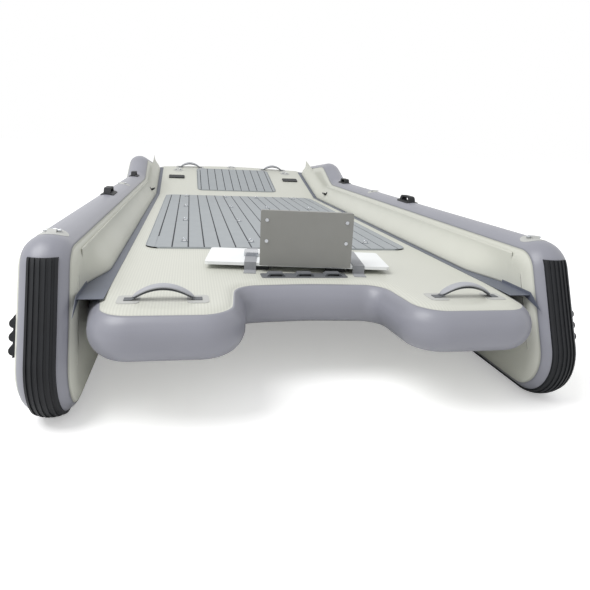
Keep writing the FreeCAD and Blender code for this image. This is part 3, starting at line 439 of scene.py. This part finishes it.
def fillets():
    """Cream swelling in the corner between deck and hull. Its depth from the hull's face is
    FILLET_DEPTH * cos(pi / 2 * t) ** 2, where t runs from 0 at its base to 1 at its top, so it runs
    out smoothly there. It grows by sin(pi / 2 * t) ** 2 over the first 220 mm and dies over the last 60."""
    y = np.linspace(FILLET_AFT, RAMP_START + RAMP_SIDE - BOW_CORNER, 120)[:, None]
    share = np.linspace(0, 1, 18)[None, :]
    growth = np.minimum(np.clip((y - FILLET_AFT) / 220, 0, 1), np.clip((y[-1] - y) / 60, 0, 1))
    depth = FILLET_DEPTH * np.cos(math.pi / 2 * share) ** 2 * np.sin(math.pi / 2 * growth) ** 2
    height = FILLET_BASE + share * (FILLET_TOP - FILLET_BASE)
    for name, side in SIDES.items():
        face = np.stack(np.broadcast_arrays(HULL_INNER_X + 0.2 - depth, y, height), -1)
        back = face[:, [-1, 0]]
        back[..., 0] = HULL_INNER_X + 1.7
        grid = np.concatenate([face, back], 1) * (side, 1, 1)
        piece = skin(name + "_fillet_skin", bend(grid), [MATERIALS["cream"]],
                     loop_v=True, weld=True, outward=True)
        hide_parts(name + "_joint_fillet")


# ---- deck ----

def deck():
    """One drop-stitch panel with two stern lobes, a motor notch and a ramp bent up at the bow."""
    wide = HULL_INNER_X - DECK_GAP
    fore = RAMP_START + RAMP_SIDE + (BEND_RADIUS * RAMP_ANGLE - 2 * BEND_REACH)
    lobe = [(197, NOTCH_FRONT, 45), (222, 0, LOBE_RADIUS), (590, 0, 105), (wide, 300, 400)]
    port_lobe = [(-x, y, radius) for x, y, radius in reversed(lobe)]
    bow = [(wide, fore, BOW_CORNER), (0, fore + RAMP_MIDDLE - RAMP_SIDE, 1800), (-wide, fore, BOW_CORNER)]
    path, normal = outline(port_lobe + [(0, NOTCH_MIDDLE, 600)] + lobe + bow, 11.0)
    x, y = path.T
    notch = (np.abs(x) < 240) & (y < 300)
    side = np.sign(x) + (x == 0)
    # the spine runs up the middle of each lobe, then in to the centreline by twice LOBE_FORE, then
    # forward; share is how far in to the centreline it has come
    past_notch = np.clip((NOTCH_CORNER_X - np.abs(x)) / NOTCH_CORNER_X, 0, 1) * (y > 260)
    share = np.where(notch, past_notch, np.clip((y - LOBE_FORE) / LOBE_FORE, 0, 1))
    spine_x = side * LOBE_X * (1 - share)
    beside_notch = np.interp(y, [LOBE_RADIUS, NOTCH_FRONT], [LOBE_RADIUS, LOBE_FORE])
    lobe_y = np.where(notch, beside_notch, np.clip(y, 105, LOBE_FORE))
    spine_y = np.where(share > 0, LOBE_FORE + share * LOBE_FORE, lobe_y)
    far = (~notch) & (y > 2 * LOBE_FORE)
    spine_x = np.where(far, 0, spine_x)
    spine_y = np.where(far, np.minimum(y, fore - 60), spine_y)
    rows, kinds = panel(path, normal, np.stack([spine_x, spine_y], 1), DECK_THICKNESS / 2, DECK_SEAM_ANGLE)
    uv = run_uv(rows)
    grid = bend(np.stack([rows[..., 0], rows[..., 1], rows[..., 2] - DECK_THICKNESS / 2], -1))
    piece = skin("deck_skin", grid, [MATERIALS["cream_deck"], MATERIALS["band"]], kinds,
                 loop_v=True, weld=True, outward=True, uv=uv)
    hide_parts("deck")


# ---- foam pads ----

def foam_pad(name, node, half_width, aft, fore, corner, carry, planks):
    """Foam sheet with rounded corners, a square-edged groove at each plank line and a dark border.
    Columns run across and rows along. A row's points are held within
    x = half_width - corner + sqrt(corner ** 2 - c ** 2), c being how far it lies into a corner."""
    lines = (np.arange(planks) - (planks - 1) / 2) * PLANK_PITCH
    walls = (-GROOVE_HALF - GROOVE_WALL, -GROOVE_HALF, GROOVE_HALF, GROOVE_HALF + GROOVE_WALL)
    cuts = np.concatenate([lines + wall for wall in walls])
    outer = BORDER_HALF + GROOVE_WALL
    border = np.array([0, FOAM_EDGE, BORDER_MARGIN - outer, BORDER_MARGIN - BORDER_HALF,
                       BORDER_MARGIN + BORDER_HALF, BORDER_MARGIN + outer])
    edge = half_width - border
    x = np.unique(np.concatenate([cuts, edge, -edge, np.linspace(-half_width, half_width, 60)]))
    ends = corner * (1 - np.cos(np.linspace(0, math.pi / 2, 14)))
    y = np.unique(np.concatenate([aft + ends, fore - ends, aft + border, fore - border,
                                  np.linspace(aft + corner, fore - corner, 40)]))
    inward = np.minimum(y - aft, fore - y)[:, None]
    into_corner = np.clip(corner - inward, 0, None)
    limit = half_width - corner + np.sqrt(np.clip(corner ** 2 - into_corner ** 2, 0, None))
    gx = np.clip(x[None, :], -limit, limit)
    gy = np.broadcast_to(y[:, None], gx.shape)
    # distance in from the outline
    cx = np.abs(gx) - (half_width - corner)
    cy = corner - inward
    straight = np.minimum(half_width - np.abs(gx), inward)
    inside = np.where((cx > 0) & (cy > 0), corner - np.hypot(cx, cy), straight)
    groove = (np.abs(gx[..., None] - lines).min(-1) < GROOVE_HALF + 0.1) & (inside > BORDER_MARGIN)
    dark = groove | (np.abs(inside - BORDER_MARGIN) < BORDER_HALF + 0.2)
    height = FOAM_THICKNESS - FOAM_EDGE * (inside < FOAM_EDGE / 2) - GROOVE_DEPTH * dark
    top = np.stack([gx, gy, height], -1)
    bottom = top.copy()
    bottom[..., 2] = 0.05
    grid = np.concatenate([top, bottom[::-1]])
    kinds = np.zeros((len(grid), gx.shape[1] - 1), int)
    kinds[:len(top) - 1] = dark[:-1, :-1] & dark[1:, :-1] & dark[:-1, 1:] & dark[1:, 1:]
    piece = skin(name, carry(grid), [MATERIALS["foam"], MATERIALS["foam_dark"]], kinds,
                 loop_u=True, weld=True, outward=True, smooth=False)
    close_sides(piece.data)
    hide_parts(node)


# ---- deck handles ----

def handle(node, x, y, carry):
    """Webbing handle with a padded sleeve, centred at (x, y) and lying across the boat. Both follow the
    arch height = rise * (1 - s ** 2) from s = -1 to 1. The sleeve's oval section closes at its ends by
    the factor sqrt(1 - s ** 8), and the flat strap under it runs on to the patches."""
    s = np.linspace(-1, 1, 49)[:, None]
    turn = np.linspace(0, 2 * math.pi, 28, endpoint=False)[None, :]
    close = np.sqrt(1 - s ** 8)
    wide, thick = 17.0 * (1 - 0.12 * s ** 2) * close, 5.5 * close
    arch = 30.0 * (1 - s ** 2) + 7.0
    sleeve = np.stack([x + 78 * s + 0 * turn, y + wide * np.cos(turn), arch + thick * np.sin(turn)], -1)
    piece = skin(node + "_sleeve", carry(sleeve), [MATERIALS["padding"]], loop_v=True,
                 weld=True, outward=True)
    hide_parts(node)
    low = 27.0 * np.clip(1 - (1.25 * s) ** 2, 0, 1) + 2.0
    corner = np.array([[-1, -1], [1, -1], [1, 1], [-1, 1]])
    strap = np.stack([x + 98 * s + 0 * corner[:, 0], y + 13.0 * corner[:, 0] + 0 * s,
                      low + 0.9 * corner[:, 1]], -1)
    piece = skin(node + "_strap", carry(strap), [MATERIALS["dark_webbing"]], loop_v=True,
                 outward=True, smooth=False)
    close_sides(piece.data)


# ---- materials of the CAD pieces ----

RULES = [
    ("transom_plate", "plate"), ("transom_bolts", "steel"), ("transom_bracket", "steel"),
    ("mount_base_board", "board"), ("mount_feet", "plastic"), ("strap_buckle", "steel"),
    ("mount_strap", "webbing"), ("mount_loop_patch", "dark_webbing"), ("inner_cleat", "plastic"),
    ("accessory_plate", "plastic"), ("ring_patch", "patch"), ("tow_patch", "patch"),
    ("ring", "steel"), ("tie_eyes", "steel"), ("handle_patches", "patch"),
    ("grab_handle", "rubber"), ("stern_handle", "padding"), ("bow_handle", "padding"),
    ("deck_pad", "foam"), ("keel_guard", "rubber"), ("rub_rail", "rubber"),
    ("joint_tape", "slate"), ("joint_fillet", "cream"), ("hull", "cream"), ("deck", "cream"),
]


def dress_cad():
    """Gives each CAD mesh the material of the first rule whose words its name holds."""
    for name, node in NODES.items():
        choice = next(key for part, key in RULES if part in name)
        node.data.materials.clear()
        node.data.materials.append(MATERIALS[choice])


# ---- camera, light and floor ----

def studio():
    """Camera at the viewing angle, a soft world, one soft key lamp and a pale floor."""
    camera = bpy.data.objects.new("camera", bpy.data.cameras.new("camera"))
    camera.data.lens = 32.31
    camera.data.sensor_width = 36.0
    right = Vector((0.98134, -0.18667, 0.04611))
    up = Vector((0.00834, 0.28090, 0.95966))
    back = right.cross(up)
    turn = Matrix((right, up, back)).transposed()
    camera.matrix_world = Matrix.Translation((-0.350, -3.0145, 0.7222)) @ turn.to_4x4()
    bpy.context.scene.collection.objects.link(camera)
    bpy.context.scene.camera = camera

    lamp = bpy.data.lights.new("key", "AREA")
    lamp.shape = "DISK"
    lamp.size = 4.0
    lamp.energy = 230.0
    key = bpy.data.objects.new("key", lamp)
    key.matrix_world = Matrix.Translation((-3.0, -2.0, 5.0))
    key.rotation_euler = (Vector((3.0, 3.0, -5.0))).to_track_quat("-Z", "Y").to_euler()
    bpy.context.scene.collection.objects.link(key)

    world = bpy.data.worlds.new("soft_white")
    world.use_nodes = True
    tree = world.node_tree
    path = add(tree, "LightPath")
    shown = add(tree, "Math", {0: path.outputs["Is Camera Ray"], 1: path.outputs["Is Glossy Ray"]},
                operation="MAXIMUM")
    strength = add(tree, "MapRange", {"Value": shown.outputs[0]})
    strength.inputs["To Min"].default_value = 0.72
    strength.inputs["To Max"].default_value = 1.0
    tree.nodes["Background"].inputs["Color"].default_value = linear("#ffffff")
    tree.links.new(strength.outputs[0], tree.nodes["Background"].inputs["Strength"])
    bpy.context.scene.world = world

    mesh = bpy.data.meshes.new("floor")
    reach = 40.0
    mesh.from_pydata([(-reach, -reach, 0), (reach, -reach, 0), (reach, reach, 0), (-reach, reach, 0)],
                     [], [(0, 1, 2, 3)])
    floor = bpy.data.objects.new("floor", mesh)
    bpy.context.scene.collection.objects.link(floor)
    floor.location.z = -0.0005
    material, tree, shader = finish_of("matt_floor_paint_white", 0.9)
    shader.inputs["Base Color"].default_value = linear("#f8f8f8")
    path = add(tree, "LightPath")
    glow = add(tree, "MapRange", {"Value": path.outputs["Is Camera Ray"]})
    glow.inputs["To Max"].default_value = 0.35
    shader.inputs["Emission Color"].default_value = linear("#ffffff")
    tree.links.new(glow.outputs[0], shader.inputs["Emission Strength"])
    mesh.materials.append(material)
    bpy.context.scene.view_settings.view_transform = "Standard"


dress_cad()
studio()
hulls()
fillets()
deck()
foam_pad("main_deck_foam", "main_deck_pad", half_width=HULL_INNER_X - 115.5, aft=794, fore=RAMP_START - 52,
         corner=60, carry=on_deck, planks=17)
foam_pad("bow_deck_foam", "bow_deck_pad", half_width=HULL_INNER_X - 336.5, aft=116, fore=RAMP_SIDE - 96,
         corner=45, carry=on_ramp, planks=10)
for side_name, side in SIDES.items():
    handle(side_name + "_stern_handle", side * STERN_HANDLE[0], STERN_HANDLE[1], on_deck)
    handle(side_name + "_bow_handle", side * BOW_HANDLE[0], BOW_HANDLE[1], on_ramp)
